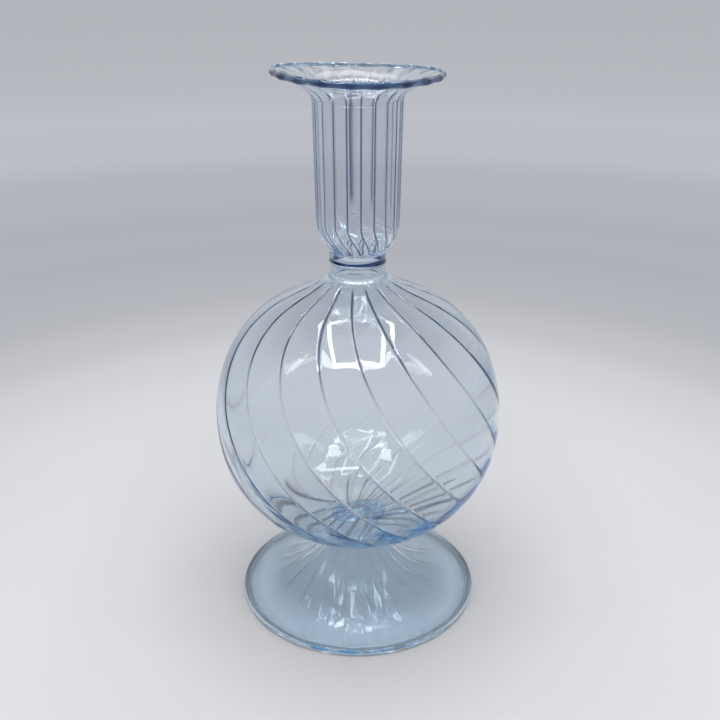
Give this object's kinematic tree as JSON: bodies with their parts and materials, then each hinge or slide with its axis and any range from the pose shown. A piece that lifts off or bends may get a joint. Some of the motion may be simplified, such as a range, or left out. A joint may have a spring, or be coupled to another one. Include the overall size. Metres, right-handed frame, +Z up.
{
  "type": "glass bud vase",
  "caption": "Hollow glass globe on a trumpet foot, with a narrow throat, a ribbed tube neck and a wide flared lip, for a single stem or a few small ones.",
  "frame": {"origin": "centre of the ring that the vase rests on, at the lowest point of the foot's rim", "axes": "+Z up along the vase's axis; the vase is the same all round, and -Y is called its front"},
  "size_m": [0.1058, 0.1058, 0.2013],
  "materials": {
    "sheet_glass": "clear pale blue, fire polished",
    "thick_glass": "clear pale blue, deeper where it is thick, fire polished"
  },
  "bodies": {
    "root": {"foot_rim": "thick_glass", "foot": "sheet_glass", "foot_seal": "thick_glass", "globe": "sheet_glass", "shoulder_band": "sheet_glass", "neck_ring": "thick_glass", "neck_tube": "sheet_glass", "lip": "sheet_glass", "lip_rim": "thick_glass"}
  },
  "joints": []
}
